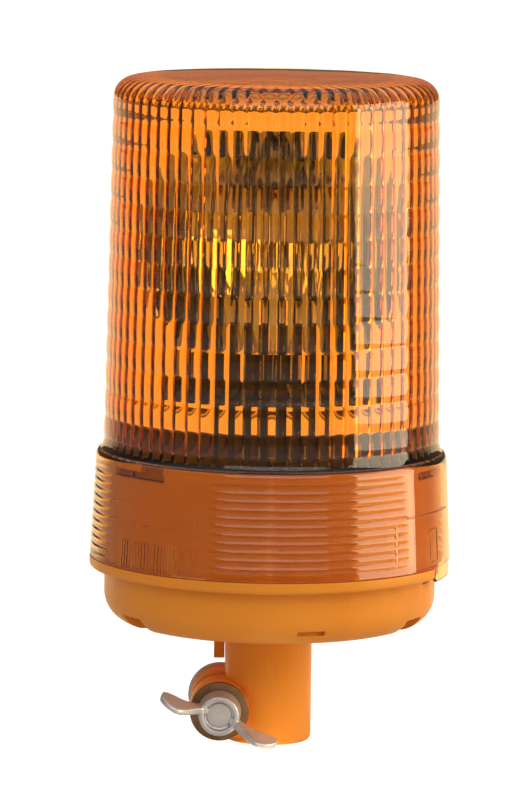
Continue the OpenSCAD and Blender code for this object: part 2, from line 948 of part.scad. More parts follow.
module lens_dome() {
    color("orange", 0.5) {
        difference() {
            rotate_extrude()
                polygon(lens_outline);
            rotate_extrude()
                polygon(skirt_room);
            rotate_extrude()
                polygon(crown_room);
            translate([0, 0, flute_foot_z])
                linear_extrude(flute_top_z - flute_foot_z,
                    scale = ridge_r(flute_top_z) / ridge_r(flute_foot_z))
                    polygon(flute_outline);
        }
        for (dir = bayonet_dirs)
            rotate(dir)
                sector([lug_inner_r, collar_r + collar_gap + 0.6],
                    [-lug_deg / 2, lug_deg / 2], lug_z);
        sector([skirt_r - 2, skirt_r - 0.2], tab_dirs, [tab_foot_z, lens_foot_z + 1.2]);
    }
}

base_housing();
lens_seal();
chassis();
chassis_screws();
vent_plug();
gear_plate();
plate_standoffs();
lamp_post();
post_circlip();
idler_pin();
idler_clip();
motor_can();
motor_end_cap();
motor_screws();
bulb_holder();
bulb_base();
bulb_clip();
bulb_glass();
bulb_filament();
pole_socket();
socket_plate();
socket_screws();
contact_housing();
contact_spring();
ground_ring();
clamp_bolt();
lead_lamp();
lead_motor();
lens_dome();
rotor_gear();
rotor_sleeve();
bush_lower();
bush_upper();
turntable();
reflector_bracket();
reflector();
reflector_screw();
reflector_tabs();
idler_gear();
motor_shaft();
motor_armature();
motor_pinion();
clamp_washer();
wing_nut();
contact_pin();
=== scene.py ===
"""Looks of the rotating warning beacon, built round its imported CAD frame. Lengths are metres."""

import json
import math

import bmesh
import bpy
import numpy as np
from mathutils import Matrix, Vector


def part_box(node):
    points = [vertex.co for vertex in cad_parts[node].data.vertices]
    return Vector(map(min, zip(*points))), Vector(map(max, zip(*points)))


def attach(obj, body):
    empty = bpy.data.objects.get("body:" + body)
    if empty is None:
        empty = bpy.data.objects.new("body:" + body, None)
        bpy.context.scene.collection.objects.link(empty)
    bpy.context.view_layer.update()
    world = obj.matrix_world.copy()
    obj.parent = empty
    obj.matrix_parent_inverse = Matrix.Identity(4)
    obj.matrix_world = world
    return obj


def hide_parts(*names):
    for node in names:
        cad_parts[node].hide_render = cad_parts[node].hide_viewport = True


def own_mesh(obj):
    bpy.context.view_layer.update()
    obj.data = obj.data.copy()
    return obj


MM = 0.001

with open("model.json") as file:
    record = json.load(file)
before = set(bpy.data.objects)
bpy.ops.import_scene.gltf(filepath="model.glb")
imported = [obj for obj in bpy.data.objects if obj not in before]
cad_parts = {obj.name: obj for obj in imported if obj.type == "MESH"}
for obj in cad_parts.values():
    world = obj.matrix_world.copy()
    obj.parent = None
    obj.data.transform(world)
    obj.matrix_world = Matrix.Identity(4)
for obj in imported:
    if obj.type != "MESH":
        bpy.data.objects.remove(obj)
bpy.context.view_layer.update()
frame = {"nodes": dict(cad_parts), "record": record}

# ---------------------------------------------------------------- sizes read from the frame


def box_of(node_name):
    """The low and high corners of a CAD node."""
    low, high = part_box(node_name)
    return Vector(low), Vector(high)


lens_low, lens_high = box_of("lens_dome")
base_high = box_of("base_housing")[1]
dish_low, dish_high = box_of("reflector")
bulb_low, bulb_high = box_of("bulb_glass")
spring_low, spring_high = box_of("contact_spring")
nut_low, nut_high = box_of("wing_nut")

SKIRT_R = lens_high.y
LENS_TOP = lens_high.z
TAB_FOOT = lens_low.z
LENS_FOOT = base_high.z - 41.7 * MM
COLLAR_R = SKIRT_R - 4.7 * MM
SHOULDER_LOW = LENS_FOOT + 40.7 * MM
SHOULDER = LENS_FOOT + 46.7 * MM
DOME_FOOT_R = SKIRT_R - 5.2 * MM
DOME_TOP_R = SKIRT_R - 7.5 * MM
CROWN_R = 8.5 * MM
CROWN_DROP = 1.5 * MM
CROWN_EDGE = LENS_TOP - CROWN_DROP
DOME_WALL = 2.4 * MM
FLUTES = 72
FLUTE_DEPTH = 0.85 * MM
FLUTE_TOP = LENS_TOP - 11 * MM
FOCUS_Z = (dish_low.z + dish_high.z) / 2
FOCUS = 18 * MM
DISH_R = dish_high.x


def link(obj):
    bpy.context.scene.collection.objects.link(obj)
    return obj


def new_object(name, mesh, smooth=True):
    for face in mesh.polygons:
        face.use_smooth = smooth
    return link(bpy.data.objects.new(name, mesh))


def smoothstep(x):
    x = min(1.0, max(0.0, x))
    return x * x * (3 - 2 * x)


def arc(centre, radius, start, end, count):
    """Points of an arc in the (r, z) plane, angles in degrees."""
    angles = [math.radians(start + (end - start) * k / count) for k in range(count + 1)]
    return [(centre[0] + radius * math.cos(a), centre[1] + radius * math.sin(a)) for a in angles]


def along(points, step):
    """Points of a polyline, with extra ones so that no stretch is longer than step."""
    out = [points[0]]
    for a, b in zip(points, points[1:]):
        count = max(1, math.ceil(math.dist(a, b) / step))
        out += [tuple(a[i] + (b[i] - a[i]) * k / count for i in (0, 1))
                for k in range(1, count + 1)]
    return out


class Shape:
    """Collects vertices and faces of one mesh."""

    def __init__(self):
        self.vertices = []
        self.faces = []

    def ring(self, points):
        start = len(self.vertices)
        self.vertices += [tuple(p) for p in points]
        return list(range(start, start + len(points)))

    def bridge(self, a, b):
        """Quads between two rings of the same length."""
        n = len(a)
        self.faces += [(a[k], a[(k + 1) % n], b[(k + 1) % n], b[k]) for k in range(n)]

    def fan(self, ring, tip):
        n = len(ring)
        self.faces += [(ring[k], ring[(k + 1) % n], tip) for k in range(n)]

    def loft(self, rings, closed=False):
        pairs = zip(rings, rings[1:] + rings[:1]) if closed else zip(rings, rings[1:])
        for a, b in pairs:
            self.bridge(a, b)

    def mesh(self, name):
        mesh = bpy.data.meshes.new(name)
        mesh.from_pydata(self.vertices, [], self.faces)
        mesh.validate()
        work = bmesh.new()
        work.from_mesh(mesh)
        bmesh.ops.recalc_face_normals(work, faces=work.faces)
        work.to_mesh(mesh)
        work.free()
        return mesh


def revolve(name, profile, count=144, closed=False, place=Matrix.Identity(4)):
    """A turned shape.

    A closed profile joins its last ring to its first. In an open one, points on the axis are tips.
    """
    shape = Shape()
    angles = [2 * math.pi * k / count for k in range(count)]
    rings = []
    for r, z in profile:
        if r < 1e-7 and not closed:
            rings.append(shape.ring([(0, 0, z)]))
        else:
            rings.append(shape.ring([(r * math.cos(a), r * math.sin(a), z) for a in angles]))
    pairs = zip(rings, rings[1:] + rings[:1]) if closed else zip(rings, rings[1:])
    for a, b in pairs:
        if len(a) == 1:
            shape.fan(b, a[0])
        elif len(b) == 1:
            shape.fan(a, b[0])
        else:
            shape.bridge(a, b)
    mesh = shape.mesh(name)
    mesh.transform(place)
    return new_object(name, mesh)


def settle(obj):
    """Turns the object's modifiers into its mesh."""
    graph = bpy.context.evaluated_depsgraph_get()
    mesh = bpy.data.meshes.new_from_object(obj.evaluated_get(graph))
    obj.modifiers.clear()
    obj.data = mesh
    for face in mesh.polygons:
        face.use_smooth = True
    return obj


def join(name, objects):
    """One object with the geometry of several."""
    work = bmesh.new()
    for obj in objects:
        mesh = obj.data.copy()
        mesh.transform(obj.matrix_world)
        work.from_mesh(mesh)
        bpy.data.objects.remove(obj)
    mesh = bpy.data.meshes.new(name)
    work.to_mesh(mesh)
    work.free()
    return new_object(name, mesh)


def block(name, low, high):
    """A box between two corners, used to cut other shapes."""
    shape = Shape()
    rings = [shape.ring([(low[0], low[1], z), (high[0], low[1], z), (high[0], high[1], z),
                         (low[0], high[1], z)]) for z in (low[2], high[2])]
    shape.loft(rings)
    shape.faces += [tuple(rings[0]), tuple(rings[1])]
    return new_object(name, shape.mesh(name), smooth=False)


def cut_away(obj, cutters):
    """Takes the cutters out of an object and deletes them."""
    for cutter in cutters:
        cut = obj.modifiers.new("cut", "BOOLEAN")
        cut.operation = "DIFFERENCE"
        cut.object = cutter
        cut.solver = "EXACT"
    settle(obj)
    for cutter in cutters:
        bpy.data.objects.remove(cutter)
    return obj


def fuse(obj, other):
    """Adds another closed shape to an object, and deletes the other."""
    grow = obj.modifiers.new("grow", "BOOLEAN")
    grow.operation = "UNION"
    grow.object = other
    grow.solver = "MANIFOLD"
    settle(obj)
    bpy.data.objects.remove(other)
    return obj


def cast(obj, voxel, rounds):
    """Melts overlapping shapes into one skin with small fillets, as a casting has."""
    remesh = obj.modifiers.new("skin", "REMESH")
    remesh.mode = "VOXEL"
    remesh.voxel_size = voxel
    ease = obj.modifiers.new("ease", "SMOOTH")
    ease.factor = 0.5
    ease.iterations = rounds
    return settle(obj)


# ---------------------------------------------------------------- materials

def feed(tree, socket, value):
    """Links an output to a socket, or sets the socket's value."""
    if isinstance(value, bpy.types.NodeSocket):
        tree.links.new(value, socket)
    else:
        socket.default_value = value


def add_node(tree, kind, *inputs, **values):
    """A shader node, with its inputs given in order, or its properties and inputs by name."""
    made = tree.nodes.new(kind)
    for key, value in values.items():
        if hasattr(made, key):
            setattr(made, key, value)
        else:
            feed(tree, made.inputs[key.replace("_", " ")], value)
    for socket, value in zip(made.inputs, inputs):
        feed(tree, socket, value)
    return made


def grain(tree, scale, detail=4.0, stretch=(1, 1, 1)):
    """Noise in the object's own coordinates."""
    place = add_node(tree, "ShaderNodeTexCoord")
    mapping = add_node(tree, "ShaderNodeMapping", Vector=place.outputs["Object"], Scale=stretch)
    noise = add_node(tree, "ShaderNodeTexNoise", Vector=mapping.outputs["Vector"], Scale=scale,
                     Detail=detail)
    return noise.outputs["Fac"]


def ramp(tree, value, low, high):
    """Maps a noise value to a colour between two colours."""
    made = add_node(tree, "ShaderNodeValToRGB", Fac=value)
    for stop, position, colour in zip(made.color_ramp.elements, (0.35, 0.65), (low, high)):
        stop.position = position
        stop.color = (*colour, 1)
    return made.outputs["Color"]


def spread(tree, value, low, high):
    """Maps a noise value to a number between low and high."""
    made = add_node(tree, "ShaderNodeMapRange", Value=value, From_Min=0.3, From_Max=0.7,
                    To_Min=low, To_Max=high)
    return made.outputs["Result"]


def material(name, low, high, rough, patch=25.0, fine=900.0, height=0.02 * MM, metal=0.0,
             fine_stretch=(1, 1, 1), **sockets):
    """A surface with colour patches, varied roughness and a fine grain.

    patch and fine are the scales of the patches and of the grain, and height is the grain's depth.
    """
    mat = bpy.data.materials.new(name)
    mat["slot"] = name
    mat.use_nodes = True
    tree = mat.node_tree
    shader = tree.nodes["Principled BSDF"]
    bump = add_node(tree, "ShaderNodeBump", Strength=1.0, Distance=height,
                    Height=grain(tree, fine, 2.0, fine_stretch))
    feed(tree, shader.inputs["Base Color"], ramp(tree, grain(tree, patch), low, high))
    feed(tree, shader.inputs["Roughness"], spread(tree, grain(tree, patch * 3), *rough))
    feed(tree, shader.inputs["Normal"], bump.outputs["Normal"])
    feed(tree, shader.inputs["Metallic"], metal)
    for key, value in sockets.items():
        feed(tree, shader.inputs[key.replace("_", " ")], value)
    return mat


def orange_plastic(name, low, high, rough):
    """An opaque moulded plastic that lets a little light in and has a warm gloss."""
    return material(name, low, high, rough, height=0.03 * MM, Subsurface_Weight=0.1,
                    Subsurface_Radius=(4 * MM, 1.5 * MM, 0.4 * MM), Specular_IOR_Level=0.3,
                    Specular_Tint=(1.0, 0.72, 0.3, 1.0))


HOUSING = orange_plastic("housing_plastic", (0.70, 0.235, 0.026), (0.75, 0.262, 0.033),
                         (0.36, 0.46))
SOCKET = orange_plastic("socket_plastic", (0.76, 0.25, 0.028), (0.81, 0.28, 0.036),
                        (0.38, 0.50))
LENS = material("lens_plastic", (0.96, 0.74, 0.38), (0.97, 0.77, 0.42), (0.0, 0.03),
                patch=12.0, fine=60.0, height=0.04 * MM, Transmission_Weight=1.0, IOR=1.53)
# partly painted light: the seal is lightened to an orange-brown, standing in for light in the
# shaded gap under the lens
RUBBER_PAINTED_LIGHT = material("seal_rubber", (0.42, 0.18, 0.07), (0.50, 0.22, 0.09), (0.5, 0.7))
BLACK = material("black_plastic", (0.016, 0.009, 0.010), (0.028, 0.017, 0.018), (0.3, 0.42))
NYLON = material("gear_plastic", (0.72, 0.70, 0.62), (0.80, 0.78, 0.70), (0.4, 0.5))
CHROME = material("reflector_chrome", (0.80, 0.80, 0.80), (0.90, 0.90, 0.90), (0.02, 0.08),
                  metal=1.0, fine=120.0, height=0.04 * MM)
ZINC = material("zinc_steel", (0.54, 0.54, 0.56), (0.70, 0.70, 0.72), (0.34, 0.46),
                metal=0.7, patch=90.0, fine=260.0, height=0.012 * MM)
# painted shade and painted reflection: the steel washer is coloured dark brown for the shade it
# lies in and the orange plastic it mirrors
WASHER_PAINTED_SHADE = material("washer_steel", (0.20, 0.11, 0.06), (0.30, 0.18, 0.10), (0.3, 0.45), metal=1.0,
                  patch=140.0, fine=500.0)
STEEL = material("steel", (0.40, 0.41, 0.42), (0.55, 0.56, 0.57), (0.25, 0.4), metal=1.0,
                 fine_stretch=(1, 1, 12))
BRONZE = material("bush_bronze", (0.40, 0.24, 0.09), (0.50, 0.31, 0.13), (0.35, 0.5), metal=1.0)
BRASS = material("contact_brass", (0.62, 0.44, 0.16), (0.75, 0.55, 0.22), (0.2, 0.35), metal=1.0)
QUARTZ = material("bulb_glass", (0.97, 0.98, 1.0), (1.0, 1.0, 1.0), (0.0, 0.02), fine=80.0,
                  Transmission_Weight=1.0, IOR=1.46)
WIRE = material("filament_wire", (0.20, 0.19, 0.18), (0.35, 0.34, 0.33), (0.3, 0.5), metal=1.0)
COPPER = material("copper_winding", (0.35, 0.10, 0.04), (0.5, 0.16, 0.06), (0.3, 0.5))
RED = material("red_sheath", (0.45, 0.02, 0.015), (0.55, 0.03, 0.02), (0.35, 0.5))
BLUE = material("blue_sheath", (0.02, 0.06, 0.3), (0.03, 0.08, 0.38), (0.35, 0.5))


def tint_through(mat, colour, density):
    """Absorption through the depth of a tinted plastic, so that thick parts are deeper."""
    tree = mat.node_tree
    depth = add_node(tree, "ShaderNodeVolumeAbsorption", Color=(*colour, 1), Density=density)
    feed(tree, tree.nodes["Material Output"].inputs["Volume"], depth.outputs["Volume"])


def painted_light_above(mat, height, low, high):
    """Painted light: a lighter colour above a height, standing in for the light that reaches the
    collar through the lens that covers it.
    """
    tree = mat.node_tree
    base = tree.nodes["Principled BSDF"].inputs["Base Color"]
    place = add_node(tree, "ShaderNodeTexCoord")
    split = add_node(tree, "ShaderNodeSeparateXYZ", place.outputs["Object"])
    over = add_node(tree, "ShaderNodeMath", split.outputs["Z"], height,
                    operation="GREATER_THAN")
    mix = add_node(tree, "ShaderNodeMix", data_type="RGBA", Factor=over.outputs["Value"],
                   A=base.links[0].from_socket, B=ramp(tree, grain(tree, 25.0), low, high))
    feed(tree, base, mix.outputs["Result"])


tint_through(LENS, (0.965, 0.68, 0.016), 310)
# painted light: the collar inside the lens is coloured lighter than the pan, in place of the light
# that the lens lets in
painted_light_above(HOUSING, LENS_FOOT - 0.2 * MM, (0.93, 0.46, 0.10), (0.96, 0.50, 0.12))

BY_SLOT = {mat["slot"]: mat for mat in (
    HOUSING, SOCKET, LENS, RUBBER_PAINTED_LIGHT, BLACK, NYLON, CHROME, ZINC, WASHER_PAINTED_SHADE, STEEL, BRONZE, BRASS,
    QUARTZ, WIRE, COPPER, RED, BLUE)}
SLOT_OF = {s["node"]: s["material_slot"] for s in frame["record"]["subparts"]}


def paint(obj, mat):
    obj.data.materials.clear()
    obj.data.materials.append(mat)
    return obj


def piece(obj, body, slot_name, *nodes):
    """Finishes a visual piece: its material, its body, its slot and the nodes it stands for."""
    paint(obj, BY_SLOT[slot_name])
    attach(obj, body)
    if nodes:
        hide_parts(*nodes)
    return obj


for node_name, cad_object in frame["nodes"].items():
    for material_slot in cad_object.material_slots:
        material_slot.link = "OBJECT"
        material_slot.material = BY_SLOT[SLOT_OF[node_name]]


# ---------------------------------------------------------------- lens

RING_PITCH = 11 * MM
RING_DEPTH = 0.44 * MM
RIB_PITCH = 3.35 * MM
RIB_DEPTH = 0.42 * MM
RIB_FOOT = LENS_FOOT + 2.6 * MM
RIBS = 11
RIB_TOP = RIB_FOOT + RIBS * RIB_PITCH
ROWS_PER_RIB = 6
SHARP = math.radians(25)
TAB_DIRS = (-24, -6)
# smooth windows in the ribbed skirt, in degrees from the front towards the right
WINDOWS = ((-62, -18), (48, 92), (165, 208))


def skirt_radius(z):
    """Radius of the smooth skirt, which narrows a little towards the shoulder."""
    top_r = SKIRT_R - 2.2 * MM
    return SKIRT_R + (top_r - SKIRT_R) * (z - LENS_FOOT) / (SHOULDER_LOW - LENS_FOOT)


def ribbed(azimuth):
    """1 where the skirt has ribs and 0 in a window, with soft ends."""
    edge = 1.2
    for low, high in WINDOWS:
        inside = min(azimuth - low, high - azimuth)
        if inside > -edge:
            return 1 - smoothstep((inside + edge) / (2 * edge))
    return 1.0


def rib_relief(z):
    """Depth of the grooves between the ribs of the skirt."""
    if not RIB_FOOT < z < RIB_TOP:
        return 0.0
    phase = ((z - RIB_FOOT) / RIB_PITCH) % 1
    return RIB_DEPTH * (1 - math.sin(math.pi * phase) ** 0.6)


def ring_relief(z):
    """Depth of the shallow rings of the dome, deepest where two rings meet."""
    if not SHOULDER < z < CROWN_EDGE - CROWN_R:
        return 0.0
    phase = ((z - SHOULDER) / RING_PITCH) % 1
    return RING_DEPTH * (2 * phase - 1) ** 2


def crown_height(r):
    """Height of the gently domed crown at radius r."""
    return LENS_TOP - CROWN_DROP * (r / (DOME_TOP_R - CROWN_R)) ** 2


def lens_outer_profile():
    """(radius, height) from the skirt's foot to the crown."""
    levels = np.linspace(RIB_FOOT, RIB_TOP, RIBS * ROWS_PER_RIB + 1).tolist() + [SHOULDER_LOW]
    skirt = [(SKIRT_R - 0.5 * MM, LENS_FOOT), (SKIRT_R - 0.15 * MM, LENS_FOOT + 0.15 * MM),
             (SKIRT_R, LENS_FOOT + 0.5 * MM)] + [(skirt_radius(z), z) for z in levels]
    shoulder = arc((skirt_radius(SHOULDER_LOW) - 3.4 * MM, SHOULDER_LOW), 3.4 * MM, 8, 62, 8)
    dome = along([(DOME_FOOT_R + 0.25 * MM, SHOULDER - 1.4 * MM), (DOME_FOOT_R, SHOULDER),
                  (DOME_TOP_R, CROWN_EDGE - CROWN_R)], RING_PITCH / 9)
    crown = arc((DOME_TOP_R - CROWN_R, CROWN_EDGE - CROWN_R), CROWN_R, 8, 90, 10)
    top = [(r, crown_height(r))
           for r in (52 * MM, 46 * MM, 40 * MM, 30 * MM, 20 * MM, 10 * MM)]
    return skirt + shoulder + dome + crown + top


def ridge_radius(z):
    """Radius of the dome's bore at the ridges between flutes."""
    share = (z - SHOULDER) / (CROWN_EDGE - CROWN_R - SHOULDER)
    return DOME_FOOT_R - DOME_WALL - FLUTE_DEPTH - (DOME_FOOT_R - DOME_TOP_R) * share


def lens_inner_profile():
    """(radius at the valleys, height, flute depth) from the skirt's foot to the crown."""
    ledge = SHOULDER - 2.6 * MM
    wall = along([(SKIRT_R - 2.1 * MM, LENS_FOOT), (COLLAR_R + 0.5 * MM, SHOULDER_LOW),
                  (COLLAR_R + 0.5 * MM, SHOULDER_LOW + 1.6 * MM),
                  (ridge_radius(ledge) + FLUTE_DEPTH, ledge)], 5 * MM)
    rows = [(r, z, 0) for r, z in wall]
    levels = [ledge + 0.4 * MM] + list(np.linspace(ledge + 4 * MM, FLUTE_TOP, 7))
    rows += [(ridge_radius(z) + FLUTE_DEPTH, float(z), FLUTE_DEPTH) for z in levels]
    inner_r = ridge_radius(FLUTE_TOP) + FLUTE_DEPTH
    bend = CROWN_EDGE - DOME_WALL - FLUTE_TOP
    rows += [(inner_r - bend + bend * math.cos(a), FLUTE_TOP + bend * math.sin(a),
              FLUTE_DEPTH * 0.9) for a in np.radians(np.linspace(10, 90, 9))]
    rows += [(r, crown_height(r) - DOME_WALL, 0)
             for r in (51 * MM, 46 * MM, 40 * MM, 30 * MM, 20 * MM, 10 * MM)]
    return rows


def lens_shell():
    """The dome and skirt as one closed wall, smooth rings outside and flutes inside."""
    outer_count, per_outer = 288, 2
    inner_count = outer_count * per_outer
    shape = Shape()
    outer = []
    for r, z in lens_outer_profile():
        points = []
        for k in range(outer_count):
            a = 2 * math.pi * k / outer_count
            azimuth = (math.degrees(a) + 180) % 360 - 90
            radius = r - ring_relief(z) - rib_relief(z) * ribbed(azimuth)
            points.append((radius * math.cos(a), radius * math.sin(a), z))
        outer.append(shape.ring(points))
    shape.loft(outer)
    shape.fan(outer[-1], shape.ring([(0, 0, LENS_TOP)])[0])

    bulge = [math.sin(math.pi * ((k * FLUTES / inner_count) % 1)) for k in range(inner_count)]
    inner = []
    for r, z, depth in lens_inner_profile():
        level = z > FLUTE_TOP + 3 * MM
        points = []
        for k in range(inner_count):
            a = 2 * math.pi * k / inner_count
            radius = r if level else r - depth * bulge[k]
            height = z - depth * bulge[k] if level else z
            points.append((radius * math.cos(a), radius * math.sin(a), height))
        inner.append(shape.ring(points))
    shape.loft(inner)
    shape.fan(inner[-1], shape.ring([(0, 0, LENS_TOP - DOME_WALL)])[0])

    foot_out, foot_in = outer[0], inner[0]
    for k in range(outer_count):
        after = (k + 1) % outer_count
        first = per_outer * k
        shape.faces.append((foot_out[k], foot_out[after], foot_in[(first + 2) % inner_count],
                            foot_in[first + 1], foot_in[first]))
    return new_object("lens_shell", shape.mesh("lens_shell"))


def on_skirt(azimuth, z):
    """The skirt's point at an azimuth, in degrees from the front towards the right."""
    a = math.radians(azimuth - 90)
    r = skirt_radius(z)
    return Vector((r * math.cos(a), r * math.sin(a), z))


def raised_bar(shape, path, width, height, sink=0.3 * MM):
    """A rounded bar along (azimuth, z) points of the skirt."""
    centres = [on_skirt(*p) for p in path]
    rings = []
    for k, centre in enumerate(centres):
        before, after = centres[max(0, k - 1)], centres[min(len(centres) - 1, k + 1)]
        tangent = (after - before).normalized()
        normal = Vector((centre.x, centre.y, 0)).normalized()
        side = tangent.cross(normal)
        section = [(-1, -sink), (-1, 0.35 * height), (-0.6, 0.85 * height), (0, height),
                   (0.6, 0.85 * height), (1, 0.35 * height), (1, -sink)]
        rings.append(shape.ring([centre + side * (u * width / 2) + normal * v
                                 for u, v in section]))
    shape.loft(rings)
    shape.faces += [tuple(rings[0]), tuple(reversed(rings[-1]))]


def lens_marks():
    """Grip ribs and plain outlines moulded in the windows of the skirt, and a bar beside one."""
    shape = Shape()
    for azimuth in np.linspace(-54, -24, 23):
        raised_bar(shape, [(azimuth, LENS_FOOT + z * MM) for z in (1.2, 6, 12.2)],
                   0.6 * MM, 0.3 * MM)
    low, high, end = LENS_FOOT + 18.6 * MM, LENS_FOOT + 23 * MM, -26.4
    middle, half = (low + high) / 2, (high - low) / 2
    turn = [(end + 1.8 * math.cos(a), middle + half * math.sin(a))
            for a in np.radians(np.linspace(-90, 90, 9))]
    hairpin = ([(a, low) for a in np.linspace(-44, end, 8)] + turn
               + [(a, high) for a in np.linspace(end, -37, 5)])
    raised_bar(shape, hairpin, 0.8 * MM, 0.5 * MM)
    for z in (19.5, 26.5):
        raised_bar(shape, [(a, LENS_FOOT + z * MM) for a in np.linspace(-62, -48, 6)],
                   0.7 * MM, 0.2 * MM)
    raised_bar(shape, [(a, LENS_FOOT + 22.5 * MM) for a in np.linspace(49, 78, 10)],
               0.8 * MM, 0.25 * MM)
    raised_bar(shape, [(44, LENS_FOOT + z * MM) for z in (2, 10, 21)], 1.2 * MM, 0.12 * MM)
    corners = [(62.8, 3), (67, 3), (67, 16), (62, 16), (62, 3.8)]
    raised_bar(shape, [(a, LENS_FOOT + z * MM) for a, z in along(corners, 2)],
               0.7 * MM, 0.25 * MM)
    return new_object("skirt_marks", shape.mesh("skirt_marks"))


def thumb_tab():
    """The tab that hangs from the skirt through the flange's notch."""
    shape = Shape()
    inner, outer = SKIRT_R - 1.9 * MM, SKIRT_R - 0.3 * MM
    top, soft = LENS_FOOT + 0.3 * MM, 0.5 * MM
    section = [(inner, top), (inner, TAB_FOOT + soft), (inner + soft, TAB_FOOT),
               (outer - soft, TAB_FOOT), (outer, TAB_FOOT + soft), (outer, top)]
    low, high = TAB_DIRS
    rings = []
    for angle in np.linspace(low, high, 15):
        a = math.radians(angle)
        lift = 1.2 * MM * (1 - min(1.0, min(angle - low, high - angle) / 1.5)) ** 2
        rings.append(shape.ring([(r * math.cos(a), r * math.sin(a),
                                  z if z == top else z + lift) for r, z in section]))
    shape.loft(rings)
    shape.faces += [tuple(rings[0]), tuple(reversed(rings[-1]))]
    return new_object("thumb_tab", shape.mesh("thumb_tab"))


def bayonet_lugs():
    """Three lugs inside the skirt that turn under the collar's ledges."""
    shape = Shape()
    low_z, high_z = SHOULDER_LOW - 4 * MM, SHOULDER_LOW - 1.7 * MM
    half_width = 3.9
    for centre in (-147, -27, 93):
        rings = []
        for angle in np.linspace(centre - half_width, centre + half_width, 7):
            a = math.radians(angle)
            corners = [(COLLAR_R - 1.8 * MM, low_z), (COLLAR_R + 0.8 * MM, low_z),
                       (COLLAR_R + 0.8 * MM, high_z), (COLLAR_R - 1.8 * MM, high_z)]
            rings.append(shape.ring([(r * math.cos(a), r * math.sin(a), z)
                                     for r, z in corners]))
        shape.loft(rings)
        shape.faces += [tuple(rings[0]), tuple(reversed(rings[-1]))]
    return new_object("bayonet_lugs", shape.mesh("bayonet_lugs"), smooth=False)


def whole_lens():
    """The wall with its marks, tab and lugs fused on, so that light meets one surface."""
    shell = lens_shell()
    fuse(shell, join("lens_details", [lens_marks(), thumb_tab(), bayonet_lugs()]))
    shell.data.set_sharp_from_angle(angle=SHARP)
    return shell


piece(whole_lens(), "lens", "lens_plastic", "lens_dome")


# ---------------------------------------------------------------- reflector

def bowl_depth(r):
    """Depth of the parabola at radius r."""
    return r * r / (4 * FOCUS)


def reflector_skin():
    """The bright bowl, trimmed flat above and below, with its rolled rim and bulb hole."""
    skin = 1.0 * MM
    bowl_r = DISH_R - 2 * MM
    steps = 48
    inner = [(bowl_r * k / steps, bowl_depth(bowl_r * k / steps)) for k in range(steps + 1)]
    rim = bowl_depth(bowl_r)
    edge = [(DISH_R - 0.3 * MM, rim + 0.05 * MM), (DISH_R, rim - 0.4 * MM),
            (DISH_R - 0.3 * MM, rim - skin)]
    outer = [(r, z - skin) for r, z in reversed(inner)]
    place = Matrix.Translation((0, FOCUS, FOCUS_Z)) @ Matrix.Rotation(math.pi / 2, 4, "X")
    bowl = revolve("reflector_bowl", inner + edge + outer, count=160, place=place)
    wide = 0.1
    neck_r, neck_top = 13.5 * MM, FOCUS_Z - 22 * MM
    cut_away(bowl, [
        block("below", (-wide, -wide, dish_low.z - wide), (wide, wide, dish_low.z)),
        block("above", (-wide, -wide, dish_high.z), (wide, wide, dish_high.z + wide)),
        revolve("neck", [(0, 0), (neck_r, 0), (neck_r, neck_top), (0, neck_top)], count=64)])
    bowl.data.set_sharp_from_angle(angle=math.radians(35))
    return bowl


piece(reflector_skin(), "rotor", "reflector_chrome", "reflector")


# ---------------------------------------------------------------- bulb

def bulb_capsule():
    """The bulb's glass, a tube with a round nose and a small tip."""
    r, glass = bulb_high.x, 0.8 * MM
    top = bulb_high.z
    nose = arc((0, top - r), r, 0, 84, 12)
    tip = [(0.35 * MM, top - 0.3 * MM), (0, top)]
    inside = arc((0, top - r), r - glass, 84, 0, 10)
    foot = (r - glass, bulb_low.z)
    outer_side = [foot, (r, bulb_low.z)] + nose + tip
    inner_side = [(0, top - 0.9 * MM)] + inside + [foot]
    return revolve("bulb_capsule", outer_side + inner_side, count=48)


piece(bulb_capsule(), "base", "bulb_glass", "bulb_glass")


# ---------------------------------------------------------------- contact spring

WIRE_R = 0.5 * MM
TURNS = 5


def contact_spring():
    """A compression spring with closed ends, between the pin's head and its seat."""
    shape = Shape()
    coil_r = spring_high.x - WIRE_R
    low, high = spring_low.z + WIRE_R, spring_high.z - WIRE_R
    closed = 2.1 * WIRE_R
    rings = []
    for turn in np.linspace(0, TURNS, 40 * TURNS + 1):
        a = 2 * math.pi * turn
        z = float(np.interp(turn, [0, 1, TURNS - 1, TURNS],
                            [low, low + closed, high - closed, high]))
        outward = Vector((math.cos(a), math.sin(a), 0))
        centre = outward * coil_r + Vector((0, 0, z))
        rings.append(shape.ring([centre + outward * (WIRE_R * math.cos(t))
                                 + Vector((0, 0, WIRE_R * math.sin(t)))
                                 for t in np.linspace(0, 2 * math.pi, 12, endpoint=False)]))
    shape.loft(rings)
    shape.faces += [tuple(rings[0]), tuple(reversed(rings[-1]))]
    return new_object("spring_coil", shape.mesh("spring_coil"))


coil = piece(contact_spring(), "base", SLOT_OF["contact_spring"], "contact_spring")
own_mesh(coil)


# ---------------------------------------------------------------- wing nut

NUT_AXIS = Vector(((nut_low.x + nut_high.x) / 2, nut_high.y, (nut_low.z + nut_high.z) / 2))
NUT_REACH = nut_high.y - nut_low.y
HUB_H = 11 * MM
WING_TILT = math.radians(22)


